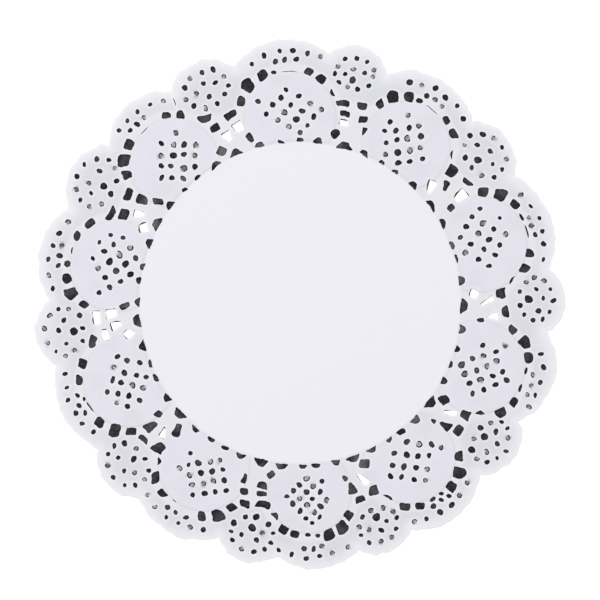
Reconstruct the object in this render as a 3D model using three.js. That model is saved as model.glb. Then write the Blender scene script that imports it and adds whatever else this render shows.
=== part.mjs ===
// A round paper doily: a plain middle in a stamped lace band, all one flat sheet.
// Lengths are millimetres and +Z is up. The origin is the middle of the underside.
// Bearings are degrees clockwise from +Y, as on a clock face seen from above.
import * as THREE from 'three';

const SHEET_THICKNESS = 1.0;
const MIDDLE_RADIUS = 81.0;
const PICOT_PITCH = 5.0;
const PICOT_DEPTH = 0.45;
const OPENINGS_PER_REPEAT = 30;

// Spacing of the repeats that the chart is drawn for, and where its medallions lie.
const CHART_PITCH = 36;
const CHART_OUT = 95.0;
const CHART_SIZE = 23.0;

// Punched dots. across, deep: half of a ring's width and depth, in shares of its lobe's radius.
const DOT_SIDES = 6;
const DOT_RADIUS = 1.65;
const HEART_DOT_RADIUS = 1.85;
const SMALL_DOT_RADIUS = 1.3;
const PETAL_RING = { dots: 11, across: 0.575, deep: 0.46, inset: 14.0 };
const PETAL_HEART = { dots: 3, across: 0.29, deep: 0.16, from: -100, step: 88, big: -0.22 };
const CREST_ARC = { inset: 5.4, from: -31, step: 12.4, dots: 6 };
const CREST_INNER_ARC = { inset: 10.0, from: -11, step: 10, dots: 3 };
const CREST_MARGIN = 2.8;
const LATTICE_SIDE = 4;
const LATTICE_CLEAR_OF_MIDDLE = 4.6;

// How far a charted corner or a dot strays, because the punching is uneven.
const CORNER_STRAY = 0.35;
const DOT_STRAY = 0.45;

// The ten medallions. at: bearing. out: how far its middle lies from the doily's own middle.
// size: radius. left, right: turn of the gaps on each side. dotsX, dotsY: middle of its dots.
// Each dot steps rightX, rightY to the next one up to the right, leftX, leftY up to the left.
const MEDALLIONS = [
  { at: -3.3, out: 93.8, size: 23.2, left: 0, right: 0, dotsX: 2.2, dotsY: 3.2, rightX: 3.8, rightY: 3.8, leftX: -5.5, leftY: 3.6 },
  { at: 33.7, out: 95.8, size: 22.2, left: 1, right: 0, dotsX: -1.2, dotsY: -0.6, rightX: 4.2, rightY: 4.1, leftX: -3.4, leftY: 4.4 },
  { at: 71.7, out: 95.0, size: 24.0, left: 1, right: 2, dotsX: -1.4, dotsY: 1.1, rightX: 4.7, rightY: 4.4, leftX: -4.0, leftY: 4.3 },
  { at: 109.7, out: 95.0, size: 23.5, left: 1, right: 0, dotsX: 1.5, dotsY: 3.8, rightX: 4.1, rightY: 3.4, leftX: -3.9, leftY: 4.5 },
  { at: 144.8, out: 95.0, size: 23.2, left: 10, right: -4, dotsX: 0.5, dotsY: 2.0, rightX: 4.3, rightY: 4.4, leftX: -4.4, leftY: 3.9 },
  { at: 177.2, out: 95.1, size: 20.9, left: 10, right: -4, dotsX: 1.9, dotsY: 3.2, rightX: 3.6, rightY: 2.9, leftX: -3.2, leftY: 3.8 },
  { at: 210.8, out: 95.0, size: 23.0, left: 3, right: 1, dotsX: -4.5, dotsY: 4.5, rightX: 4.3, rightY: 3.5, leftX: -3.4, leftY: 3.8 },
  { at: 245.6, out: 95.0, size: 23.0, left: 1, right: 2, dotsX: 1.3, dotsY: -0.5, rightX: 3.6, rightY: 4.2, leftX: -4.4, leftY: 3.8 },
  { at: 281.4, out: 95.0, size: 23.0, left: 7, right: 3, dotsX: 1.9, dotsY: -0.4, rightX: 4.2, rightY: 3.8, leftX: -4.5, leftY: 4.5 },
  { at: 318.0, out: 95.0, size: 22.6, left: 5, right: 6, dotsX: 2.2, dotsY: -0.3, rightX: 4.1, rightY: 4.2, leftX: -4.2, leftY: 4.0 },
];

// Dots beside a medallion's square of sixteen, in steps right and left from its middle.
const STRAY_DOTS = [
  { medallion: 0, right: -0.8, left: 2.6 },
  { medallion: 1, right: 0.6, left: 2.6 },
  { medallion: 1, right: -0.9, left: 2.4 },
  { medallion: 2, right: -1.2, left: 2.4 },
  { medallion: 2, right: 0.5, left: 2.5 },
  { medallion: 3, right: -2.5, left: 0.7 },
  { medallion: 3, right: -1.5, left: 2.4 },
  { medallion: 4, right: -1.3, left: 2.4 },
  { medallion: 5, right: -2.6, left: -0.2 },
  { medallion: 5, right: 0.3, left: 2.4 },
  { medallion: 5, right: 1.3, left: 2.4 },
  { medallion: 6, right: 2.4, left: -1.3 },
  { medallion: 6, right: 1.0, left: -2.6 },
  { medallion: 7, right: 0.5, left: 2.4 },
  { medallion: 7, right: -0.6, left: 2.4 },
  { medallion: 8, right: 2.4, left: -0.7 },
  { medallion: 8, right: 2.4, left: 0.4 },
  { medallion: 8, right: -1.4, left: 2.4 },
  { medallion: 9, right: 2.3, left: 0.4 },
];

// The wide lobes of the edge, one behind each medallion.
const CRESTS = [
  { at: -3.6, out: 99.4, size: 33.7 },
  { at: 32.8, out: 100.3, size: 32.8 },
  { at: 71.2, out: 96.7, size: 36.4 },
  { at: 107.5, out: 102.7, size: 30.5 },
  { at: 144.2, out: 102.7, size: 29.9 },
  { at: 176.4, out: 103.5, size: 30.1 },
  { at: 210.3, out: 101.3, size: 31.5 },
  { at: 245.3, out: 94.8, size: 37.4 },
  { at: 281.2, out: 100.7, size: 33.1 },
  { at: 318.8, out: 104.9, size: 27.8 },
];

// The narrow lobes, one in each space between medallions, and the openwork below each.
// shift, lift, lean: how far that openwork lies clockwise, outward and turned from its chart.
const PETALS = [
  { at: 13.3, out: 116.1, size: 17.0, turn: -8, openwork: 'ladder', shift: 0.2, lift: 0.0, lean: -2 },
  { at: 51.2, out: 112.9, size: 20.6, turn: 12, openwork: 'kite', shift: 0.2, lift: -0.4, lean: -4 },
  { at: 89.0, out: 114.4, size: 18.7, turn: 4, openwork: 'fan', shift: 0.0, lift: 0.4, lean: -2 },
  { at: 126.0, out: 113.5, size: 19.2, turn: -4, openwork: 'fan', shift: 0.3, lift: -0.6, lean: 2 },
  { at: 160.6, out: 114.4, size: 18.1, turn: 10, openwork: 'fan', shift: 1.2, lift: 0.2, lean: 6 },
  { at: 191.8, out: 114.0, size: 19.0, turn: -12, openwork: 'ladder', shift: -0.4, lift: 0.4, lean: 4 },
  { at: 226.9, out: 113.3, size: 20.0, turn: 2, openwork: 'kite', shift: -0.4, lift: 0.3, lean: 2 },
  { at: 263.2, out: 112.7, size: 21.1, turn: 14, openwork: 'crossed', shift: 0.4, lift: 0.2, lean: 4 },
  { at: 300.7, out: 112.2, size: 21.9, turn: -10, openwork: 'crossed', shift: 0.0, lift: -0.1, lean: 0 },
  { at: 336.4, out: 112.3, size: 19.8, turn: 6, openwork: 'crossed', shift: -0.6, lift: -1.2, lean: 2 },
];

// Gaps round a medallion. turn: degrees clockwise from its outward side.
// inner, outer: lengths of the sides towards and away from it. deep: between the two.
const RING_GAPS = [
  { side: 'left', turn: -67, inner: 4.2, outer: 5.4, deep: 4.2, nose: 0 },
  { side: 'left', turn: -49, inner: 4.8, outer: 6.6, deep: 5.4, nose: 1.4 },
  { side: 'left', turn: -31, inner: 4.6, outer: 5.6, deep: 4.4, nose: 0.8 },
  { side: 'right', turn: 25, inner: 4.6, outer: 4.4, deep: 3.8, nose: 0 },
  { side: 'right', turn: 43, inner: 5.2, outer: 4.6, deep: 4.4, nose: 0 },
];

// Slits that bend with a medallion's edge. off: from that edge to the slit's middle.
// lean: degrees clockwise from along the edge.
const SLITS = [
  { medallion: 0, turn: -16, off: 1.1, long: 2.8, wide: 2.0, lean: 0 },
  { medallion: 0, turn: 3, off: 0.3, long: 9.5, wide: 0.4, lean: 0 },
  { medallion: 1, turn: -17, off: 1.7, long: 3.6, wide: 2.8, lean: 0 },
  { medallion: 1, turn: 2, off: 0.3, long: 8.5, wide: 0.4, lean: 0 },
  { medallion: 2, turn: -15, off: 1.2, long: 4.8, wide: 1.4, lean: 0 },
  { medallion: 2, turn: 3, off: 0.8, long: 7.5, wide: 0.8, lean: 0 },
  { medallion: 3, turn: -14.5, off: 0.8, long: 4.6, wide: 1.2, lean: 0 },
  { medallion: 3, turn: 6, off: 0.9, long: 4.6, wide: 1.5, lean: 0 },
  { medallion: 4, turn: -7, off: 1.4, long: 2.8, wide: 1.9, lean: 0 },
  { medallion: 4, turn: 6, off: 1.3, long: 3.8, wide: 2.3, lean: 0 },
  { medallion: 5, turn: -8, off: 1.4, long: 2.6, wide: 2.1, lean: 0 },
  { medallion: 5, turn: 5, off: 1.2, long: 3.8, wide: 1.9, lean: 0 },
  { medallion: 6, turn: 8, off: 0.4, long: 3.4, wide: 0.5, lean: 0 },
  { medallion: 7, turn: -9.5, off: 0.4, long: 7.0, wide: 0.7, lean: 0 },
  { medallion: 7, turn: 4, off: 1.0, long: 2.8, wide: 1.5, lean: 0 },
  { medallion: 8, turn: -9, off: 1.8, long: 4.2, wide: 2.8, lean: 0 },
  { medallion: 8, turn: 9, off: 0.6, long: 4.6, wide: 0.8, lean: 0 },
  { medallion: 9, turn: -1, off: 0.3, long: 5.6, wide: 0.5, lean: 0 },
  { medallion: 9, turn: 41, off: 8.2, long: 4.4, wide: 0.5, lean: 74 },
];

// A slit's outline, in shares of its length and width.
const SLIT_SHAPE = [
  { along: -0.5, across: 0 },
  { along: -0.25, across: -0.5 },
  { along: 0.25, across: -0.5 },
  { along: 0.5, across: 0 },
  { along: 0.25, across: 0.5 },
  { along: -0.25, across: 0.5 },
];

// Gaps in a row along the plain middle, by bearing from the medallion or the openwork above.
const RIM_GAPS = [
  { below: 'medallion', turn: -10.4, inner: 6.0, outer: 2.0, deep: 3.2 },
  { below: 'medallion', turn: -3.0, inner: 3.4, outer: 1.8, deep: 2.4 },
  { below: 'medallion', turn: 2.2, inner: 3.4, outer: 1.8, deep: 2.2 },
  { below: 'medallion', turn: 9.7, inner: 6.2, outer: 2.0, deep: 3.0 },
  { below: 'openwork', turn: 0, inner: 8.0, outer: 2.6, deep: 3.5 },
];

// Openwork between two medallions. x: clockwise of the line halfway. y: out from the doily's middle.
// inner, outer: lengths of the sides towards and away from the middle.
const OPENWORK = {
  ladder: [
    { x: -12.4, y: 106.4, inner: 2.4, outer: 5.2, deep: 2.0, turn: 44 },
    { x: -5.5, y: 103.1, inner: 6.0, outer: 7.6, deep: 3.7, turn: -10 },
    { x: 3.6, y: 104.3, inner: 4.8, outer: 5.4, deep: 3.8, turn: -10 },
    { x: -3.7, y: 97.6, inner: 5.6, outer: 5.8, deep: 2.6, turn: -10 },
    { x: 5.3, y: 98.2, inner: 4.4, outer: 5.0, deep: 3.4, turn: -12 },
    { x: -2.8, y: 93.3, inner: 4.8, outer: 6.2, deep: 3.4, turn: -4 },
    { x: 7.3, y: 91.9, inner: 1.2, outer: 3.2, deep: 5.2, turn: 4 },
    { x: -5.8, y: 87.2, inner: 4.3, outer: 4.3, deep: 4.3, turn: 40 },
  ],
  crossed: [
    { x: -7.6, y: 105.6, inner: 5.0, outer: 8.2, deep: 3.8, turn: 6 },
    { x: 4.3, y: 102.8, inner: 6.2, outer: 7.4, deep: 4.0, turn: -4 },
    { x: -4.9, y: 99.6, inner: 5.2, outer: 5.6, deep: 4.2, turn: -14 },
    { x: 5.7, y: 95.4, inner: 3.8, outer: 5.2, deep: 6.0, turn: -8 },
    { x: -1.0, y: 93.3, inner: 2.4, outer: 5.6, deep: 5.6, turn: -20 },
    { x: 8.6, y: 87.9, inner: 2.4, outer: 3.2, deep: 5.4, turn: -26 },
    { x: -5.7, y: 87.7, inner: 4.8, outer: 4.8, deep: 4.8, turn: 42 },
  ],
  fan: [
    { x: -12.4, y: 106.2, inner: 2.2, outer: 6.4, deep: 1.6, turn: 44 },
    { x: -5.9, y: 101.0, inner: 4.4, outer: 5.6, deep: 5.2, turn: -6 },
    { x: 2.8, y: 103.0, inner: 4.6, outer: 6.2, deep: 4.2, turn: -4 },
    { x: -2.2, y: 93.6, inner: 1.2, outer: 4.2, deep: 8.0, turn: -30 },
    { x: 4.7, y: 96.4, inner: 1.8, outer: 5.4, deep: 5.6, turn: -4 },
    { x: 7.0, y: 90.4, inner: 1.6, outer: 3.2, deep: 4.0, turn: -12 },
    { x: -5.8, y: 87.2, inner: 4.8, outer: 4.8, deep: 4.8, turn: 22 },
  ],
  kite: [
    { x: -12.8, y: 106.4, inner: 1.4, outer: 5.0, deep: 1.6, turn: 44 },
    { x: -6.9, y: 101.4, inner: 4.0, outer: 6.2, deep: 6.2, turn: -8 },
    { x: 2.0, y: 104.2, inner: 4.2, outer: 7.2, deep: 3.0, turn: -8 },
    { x: -2.4, y: 94.8, inner: 1.6, outer: 4.6, deep: 5.2, turn: -32 },
    { x: 5.2, y: 97.4, inner: 2.8, outer: 5.8, deep: 6.8, turn: 2 },
    { x: 7.2, y: 90.2, inner: 3.2, outer: 3.6, deep: 4.2, turn: -10 },
    { x: -6.4, y: 88.6, inner: 3.2, outer: 4.4, deep: 7.0, turn: -24 },
  ],
};

const radians = THREE.MathUtils.degToRad;

// A repeatable number from -1 to 1.
function stray(key) {
  const spread = Math.sin(key * 12.9898) * 43758.5453;
  return 2 * (spread - Math.floor(spread)) - 1;
}

// A point x clockwise and y outward on the line at a bearing.
function onBearing(bearing, x, y) {
  const angle = radians(bearing);
  return new THREE.Vector2(
    x * Math.cos(angle) + y * Math.sin(angle),
    y * Math.cos(angle) - x * Math.sin(angle),
  );
}

// A gap's corners about its own middle, its outer side towards +Y. A nose points outward.
function gapCorners({ inner, outer, deep, nose = 0 }) {
  const corners = [[-inner / 2, -deep / 2], [inner / 2, -deep / 2], [outer / 2, deep / 2]];
  if (nose > 0) corners.push([0, deep / 2 + nose]);
  corners.push([-outer / 2, deep / 2]);
  return corners.map(([x, y]) => new THREE.Vector2(x, y));
}

// Moves corners to x, y on a bearing, turned clockwise, each straying a little.
function placed(corners, bearing, x, y, turn, key, amount) {
  return corners.map((corner, index) => {
    const turned = corner.clone().rotateAround(new THREE.Vector2(), -radians(turn));
    const strayX = amount * stray(key + index * 0.37);
    const strayY = amount * stray(key + index * 0.53 + 0.11);
    return onBearing(bearing, x + turned.x + strayX, y + turned.y + strayY);
  });
}

// The row of gaps that follows a medallion's outer side.
function ringGaps(medallion, key) {
  return RING_GAPS.map((gap, index) => {
    const turn = gap.turn + medallion[gap.side] + 1.5 * stray(key + index * 0.71);
    const reach = medallion.size + gap.deep / 2 + 0.1;
    const x = reach * Math.sin(radians(turn));
    const y = medallion.out + reach * Math.cos(radians(turn));
    return placed(gapCorners(gap), medallion.at, x, y, turn, key + index, CORNER_STRAY);
  });
}

function slits(medallion, number, key) {
  return SLITS.filter((slit) => slit.medallion === number).map((slit, index) => {
    const corners = SLIT_SHAPE.map(({ along, across }) => {
      const x = along * slit.long;
      return new THREE.Vector2(x, across * slit.wide - x ** 2 / (2 * medallion.size));
    });
    const reach = medallion.size + slit.off;
    const x = reach * Math.sin(radians(slit.turn));
    const y = medallion.out + reach * Math.cos(radians(slit.turn));
    return placed(corners, medallion.at, x, y, slit.turn + slit.lean, key + index + 30, 0);
  });
}

// The row closes up or opens out with the spacing of the medallions.
function rimGaps(medallion, halfway, pitch, key) {
  return RIM_GAPS.map((gap, index) => {
    const base = gap.below === 'openwork' ? halfway : medallion.at;
    const bearing = base + gap.turn * (pitch / CHART_PITCH) + 0.5 * stray(key + index * 0.83);
    const y = MIDDLE_RADIUS + gap.deep / 2 + 0.2;
    return placed(gapCorners(gap), bearing, 0, y, 0, key + index + 20, CORNER_STRAY);
  });
}

// How far a medallion's edge lies from the line halfway to the next, at height y.
function clearAcross(out, size, turn, y) {
  const half = Math.sqrt(Math.max(size ** 2 - (y - out * Math.cos(radians(turn))) ** 2, 0));
  return out * Math.sin(radians(turn)) - half;
}

// The charted gaps close up or open out to fit between two medallions.
function openworkGaps(petal, before, after, halfway, pitch, key) {
  return OPENWORK[petal.openwork].map((gap, index) => {
    const beside = gap.x < 0 ? before : after;
    const room = clearAcross(beside.out, beside.size, pitch / 2, gap.y);
    const charted = clearAcross(CHART_OUT, CHART_SIZE, CHART_PITCH / 2, gap.y);
    const x = gap.x * THREE.MathUtils.clamp(room / charted, 0.92, 1.08) + petal.shift;
    const y = gap.y + petal.lift;
    return placed(gapCorners(gap), halfway, x, y, gap.turn + petal.lean, key + index + 40, CORNER_STRAY);
  });
}

function dot(bearing, x, y, radius, key) {
  const corners = [];
  for (let side = 0; side < DOT_SIDES; side += 1) {
    const angle = (side / DOT_SIDES) * 2 * Math.PI + stray(key);
    corners.push(new THREE.Vector2(radius * Math.cos(angle), radius * Math.sin(angle)));
  }
  const movedX = x + DOT_STRAY * stray(key + 0.29);
  const movedY = y + DOT_STRAY * stray(key + 0.61);
  return placed(corners, bearing, movedX, movedY, 0, key, 0);
}

// A square of dots that stands on its corner, its outer dots smaller than its inner ones.
function latticeDots(medallion, number, key) {
  const places = STRAY_DOTS.filter((extra) => extra.medallion === number);
  const last = (LATTICE_SIDE - 1) / 2;
  for (let right = -last; right <= last; right += 1) {
    for (let left = -last; left <= last; left += 1) places.push({ right, left });
  }
  return places.flatMap(({ right, left }, index) => {
    const x = medallion.dotsX + right * medallion.rightX + left * medallion.leftX;
    const y = medallion.out + medallion.dotsY + right * medallion.rightY + left * medallion.leftY;
    if (y < MIDDLE_RADIUS + LATTICE_CLEAR_OF_MIDDLE) return [];
    const shrink = 1.05 - 0.1 * Math.hypot(right, left) + 0.07 * stray(key + index * 0.31);
    return [dot(medallion.at, x, y, DOT_RADIUS * shrink, key + index + 60)];
  });
}

// Small dots round an oval, or along part of it.
function ovalDots(bearing, middleY, across, deep, turns, dotRadius, key) {
  return turns.map((turn, index) => {
    const x = across * Math.sin(radians(turn));
    const y = middleY + deep * Math.cos(radians(turn));
    return dot(bearing, x, y, dotRadius * (1 + 0.12 * stray(key + index)), key + index);
  });
}

function stepsFrom(first, step, count) {
  return Array.from({ length: count }, (_, index) => first + step * index);
}

// A ring of dots in a narrow lobe, with three more and a large one inside it.
function petalDots(petal, key) {
  const middleY = petal.out + petal.size - PETAL_RING.inset;
  const rows = [
    { ...PETAL_RING, from: 0, step: 360 / PETAL_RING.dots, key: key + 90 },
    { ...PETAL_HEART, key: key + 110 },
  ];
  const dots = rows.flatMap((row) => {
    const turns = stepsFrom(petal.turn + row.from, row.step, row.dots);
    const across = row.across * petal.size;
    const deep = row.deep * petal.size;
    return ovalDots(petal.at, middleY, across, deep, turns, SMALL_DOT_RADIUS, row.key);
  });
  return [...dots, dot(petal.at, 0, middleY + PETAL_HEART.big * petal.size, HEART_DOT_RADIUS, key + 120)];
}

// Arcs of dots above a medallion. A dot that would come too near the edge is left out.
function crestDots(crest, medallion, key) {
  const middle = onBearing(crest.at, 0, crest.out);
  return [CREST_ARC, CREST_INNER_ARC].flatMap((arc, index) => {
    const radius = crest.out + crest.size - medallion.out - arc.inset;
    const turns = stepsFrom(arc.from, arc.step, arc.dots).filter((turn) => {
      const x = radius * Math.sin(radians(turn));
      const y = medallion.out + radius * Math.cos(radians(turn));
      return onBearing(medallion.at, x, y).distanceTo(middle) < crest.size - CREST_MARGIN;
    });
    return ovalDots(medallion.at, medallion.out, radius, radius, turns, SMALL_DOT_RADIUS, key + 130 + 10 * index);
  });
}

// Where the outlines of two neighbouring lobes cross, on the doily's outside.
function valleyBetween(first, second) {
  const a = onBearing(first.at, 0, first.out);
  const b = onBearing(second.at, 0, second.out);
  const apart = a.distanceTo(b);
  const along = (apart ** 2 + first.size ** 2 - second.size ** 2) / (2 * apart);
  const aside = Math.sqrt(first.size ** 2 - along ** 2);
  const direction = b.clone().sub(a).divideScalar(apart);
  const foot = a.clone().addScaledVector(direction, along);
  return foot.addScaledVector(new THREE.Vector2(-direction.y, direction.x), aside);
}

// The outline runs clockwise, lobe by lobe, in small picots.
function edgeOutline() {
  const lobes = CRESTS.flatMap((crest, index) => [crest, PETALS[index]]);
  return lobes.flatMap((lobe, index) => {
    const before = lobes[(index + lobes.length - 1) % lobes.length];
    const after = lobes[(index + 1) % lobes.length];
    const middle = onBearing(lobe.at, 0, lobe.out);
    const start = valleyBetween(before, lobe).sub(middle).angle();
    let sweep = start - valleyBetween(lobe, after).sub(middle).angle();
    if (sweep < 0) sweep += 2 * Math.PI;
    const picots = Math.round((sweep * lobe.size) / PICOT_PITCH);
    const points = [];
    for (let step = 0; step < 2 * picots; step += 1) {
      const angle = start - (sweep * step) / (2 * picots);
      const radius = lobe.size + (step % 2 === 0 ? -PICOT_DEPTH : 0);
      points.push(middle.clone().add(new THREE.Vector2(Math.cos(angle), Math.sin(angle)).multiplyScalar(radius)));
    }
    return points;
  });
}

// All the openings of one repeat, largest first.
function repeatOpenings(number) {
  const medallion = MEDALLIONS[number];
  const petal = PETALS[number];
  const after = MEDALLIONS[(number + 1) % MEDALLIONS.length];
  const pitch = (after.at - medallion.at + 360) % 360;
  const halfway = medallion.at + pitch / 2;
  const key = 100 * (number + 1);
  const openings = [
    ...ringGaps(medallion, key),
    ...slits(medallion, number, key),
    ...rimGaps(medallion, halfway, pitch, key),
    ...openworkGaps(petal, medallion, after, halfway, pitch, key),
    ...latticeDots(medallion, number, key),
    ...petalDots(petal, key),
    ...crestDots(CRESTS[number], medallion, key),
  ];
  const area = (corners) => Math.abs(THREE.ShapeUtils.area(corners));
  return openings.sort((a, b) => area(b) - area(a)).slice(0, OPENINGS_PER_REPEAT);
}

function makeSheet() {
  const sheet = new THREE.Shape(edgeOutline());
  for (let number = 0; number < MEDALLIONS.length; number += 1) {
    for (const corners of repeatOpenings(number)) sheet.holes.push(new THREE.Path(corners));
  }
  const geometry = new THREE.ExtrudeGeometry(sheet, { depth: SHEET_THICKNESS, bevelEnabled: false });
  const paper = new THREE.MeshStandardMaterial({ color: 0xefedf5, roughness: 0.85, metalness: 0 });
  const mesh = new THREE.Mesh(geometry, paper);
  mesh.name = 'doily_sheet';
  return mesh;
}

const doily = new THREE.Group();
doily.add(makeSheet());

export default doily;
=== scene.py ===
"""A round paper doily lying flat: a plain middle in a wide band of stamped and punched lace.

Charts are in millimetres. Bearings are degrees clockwise from +Y, seen from above.
"""

import math
from collections import namedtuple

import bmesh
import bpy
from mathutils import Matrix, Vector, kdtree, noise


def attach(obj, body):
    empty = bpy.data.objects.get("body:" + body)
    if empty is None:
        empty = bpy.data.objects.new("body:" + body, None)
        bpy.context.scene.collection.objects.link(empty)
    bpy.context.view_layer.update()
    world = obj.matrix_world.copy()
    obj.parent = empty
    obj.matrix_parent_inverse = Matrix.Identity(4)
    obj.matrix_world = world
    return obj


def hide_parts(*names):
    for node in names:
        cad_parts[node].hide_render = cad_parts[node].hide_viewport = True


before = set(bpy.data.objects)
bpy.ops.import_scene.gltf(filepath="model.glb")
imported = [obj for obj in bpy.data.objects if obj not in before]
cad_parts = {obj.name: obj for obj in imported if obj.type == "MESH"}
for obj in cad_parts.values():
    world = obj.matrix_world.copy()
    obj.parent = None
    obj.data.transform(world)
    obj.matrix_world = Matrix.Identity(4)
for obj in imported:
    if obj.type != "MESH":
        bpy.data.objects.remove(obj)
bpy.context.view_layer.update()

bl_info = {
    "name": "Paper doily",
    "version": (1, 0, 0),
    "blender": (4, 5, 0),
    "location": "3D View > Sidebar > Doily",
    "description": "Makes a round paper doily and the pale floor that it lies on",
    "category": "Add Mesh",
}

MM = 0.001
UP = Vector((0.0, 0.0, 1.0))

Medallion = namedtuple(
    "Medallion", "at out size left right dots_x dots_y right_x right_y left_x left_y"
)
Lobe = namedtuple("Lobe", "at out size")
Petal = namedtuple("Petal", "at out size turn openwork shift lift lean")
RingGap = namedtuple("RingGap", "side turn inner outer deep nose")
Slit = namedtuple("Slit", "medallion turn off long wide lean")
RimGap = namedtuple("RimGap", "below turn inner outer deep")
Cell = namedtuple("Cell", "x y inner outer deep turn")
StrayDot = namedtuple("StrayDot", "medallion right left")
OvalRow = namedtuple("OvalRow", "dots across deep start step")
ArcRow = namedtuple("ArcRow", "inset start step dots")
Dot = namedtuple("Dot", "middle radius key")
Sizes = namedtuple("Sizes", "dot heart small")
Repeat = namedtuple("Repeat", "number medallion petal after halfway pitch key")
Place = namedtuple("Place", "at radius to_face to_plain to_edge to_cut chad swell")

MIDDLE_RADIUS = 81.0

# The spacing of the repeats that the charts are drawn for, and where its medallions lie.
CHART_PITCH = 36.0
CHART_OUT = 95.0
CHART_SIZE = 23.0
OPENWORK_FIT = (0.92, 1.08)

# How far a charted corner, a dot or a whole gap strays, because the punching is uneven.
CORNER_STRAY = 0.4
DOT_STRAY = 0.45
RING_GAP_TURN_STRAY = 1.5
RIM_GAP_TURN_STRAY = 0.5

# Each repeat draws its strays from keys of its own, and each kind of opening from its own part.
KEYS_TO_A_REPEAT = 100
RIM_GAP_KEY = 20
OPENWORK_KEY = 40
LATTICE_KEY = 60
PETAL_RING_KEY = 90
PETAL_HEART_KEY = 110
PETAL_BIG_DOT_KEY = 120
CREST_KEY = 130
KEYS_TO_A_CREST_ROW = 10

# The ten medallions. out is how far the middle lies from the doily's own middle, and size is
# the radius. Dots stand on a slanted square: each steps right_x, right_y or left_x, left_y.
MEDALLIONS = (
    Medallion(-3.3, 93.8, 23.2, 0, 0, 2.2, 3.2, 3.8, 3.8, -5.5, 3.6),
    Medallion(33.7, 95.8, 22.2, 1, 0, -1.2, -0.6, 4.2, 4.1, -3.4, 4.4),
    Medallion(71.7, 95.0, 24.0, 1, 2, -1.4, 1.1, 4.7, 4.4, -4.0, 4.3),
    Medallion(109.7, 95.0, 23.5, 1, 0, 1.5, 3.8, 4.1, 3.4, -3.9, 4.5),
    Medallion(144.8, 95.0, 23.2, 10, -4, 0.5, 2.0, 4.3, 4.4, -4.4, 3.9),
    Medallion(177.2, 95.1, 20.9, 10, -4, 1.9, 3.2, 3.6, 2.9, -3.2, 3.8),
    Medallion(210.8, 95.0, 23.0, 3, 1, -4.5, 4.5, 4.3, 3.5, -3.4, 3.8),
    Medallion(245.6, 95.0, 23.0, 1, 2, 1.3, -0.5, 3.6, 4.2, -4.4, 3.8),
    Medallion(281.4, 95.0, 23.0, 7, 3, 1.9, -0.4, 4.2, 3.8, -4.5, 4.5),
    Medallion(318.0, 95.0, 22.6, 5, 6, 2.2, -0.3, 4.1, 4.2, -4.2, 4.0),
)

# Dots beside a medallion's square of sixteen, in steps right and left from its middle.
STRAY_DOTS = (
    StrayDot(0, -0.8, 2.6),
    StrayDot(1, 0.6, 2.6),
    StrayDot(1, -0.9, 2.4),
    StrayDot(2, -1.2, 2.4),
    StrayDot(2, 0.5, 2.5),
    StrayDot(3, -2.5, 0.7),
    StrayDot(3, -1.5, 2.4),
    StrayDot(4, -1.3, 2.4),
    StrayDot(5, -2.6, -0.2),
    StrayDot(5, 0.3, 2.4),
    StrayDot(5, 1.3, 2.4),
    StrayDot(6, 2.4, -1.3),
    StrayDot(6, 1.0, -2.6),
    StrayDot(7, 0.5, 2.4),
    StrayDot(7, -0.6, 2.4),
    StrayDot(8, 2.4, -0.7),
    StrayDot(8, 2.4, 0.4),
    StrayDot(8, -1.4, 2.4),
    StrayDot(9, 2.3, 0.4),
)

# The wide lobes of the edge, one behind each medallion.
CRESTS = (
    Lobe(-3.6, 99.4, 33.7),
    Lobe(32.8, 100.3, 32.8),
    Lobe(71.2, 96.7, 36.4),
    Lobe(107.5, 102.7, 30.5),
    Lobe(144.2, 102.7, 29.9),
    Lobe(176.4, 103.5, 30.1),
    Lobe(210.3, 101.3, 31.5),
    Lobe(245.3, 94.8, 37.4),
    Lobe(281.2, 100.7, 33.1),
    Lobe(318.8, 104.9, 27.8),
)

# The narrow lobes, one in each space between medallions, and the openwork below each.
# shift, lift, lean: how far that openwork lies clockwise, outward and turned from its chart.
PETALS = (
    Petal(13.3, 116.1, 17.0, -8, "ladder", 0.2, 0.0, -2),
    Petal(51.2, 112.9, 20.6, 12, "kite", 0.2, -0.4, -4),
    Petal(89.0, 114.4, 18.7, 4, "fan", 0.0, 0.4, -2),
    Petal(126.0, 113.5, 19.2, -4, "fan", 0.3, -0.6, 2),
    Petal(160.6, 114.4, 18.1, 10, "fan", 1.2, 0.2, 6),
    Petal(191.8, 114.0, 19.0, -12, "ladder", -0.4, 0.4, 4),
    Petal(226.9, 113.3, 20.0, 2, "kite", -0.4, 0.3, 2),
    Petal(263.2, 112.7, 21.1, 14, "crossed", 0.4, 0.2, 4),
    Petal(300.7, 112.2, 21.9, -10, "crossed", 0.0, -0.1, 0),
    Petal(336.4, 112.3, 19.8, 6, "crossed", -0.6, -1.2, 2),
)

# Gaps round a medallion, by turn from its outward side.
RING_GAP_OFF = 0.1
RING_GAPS = (
    RingGap("left", -67, 4.2, 5.4, 4.2, 0),
    RingGap("left", -49, 4.8, 6.6, 5.4, 1.4),
    RingGap("left", -31, 4.6, 5.6, 4.4, 0.8),
    RingGap("right", 25, 4.6, 4.4, 3.8, 0),
    RingGap("right", 43, 5.2, 4.6, 4.4, 0),
)

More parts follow.
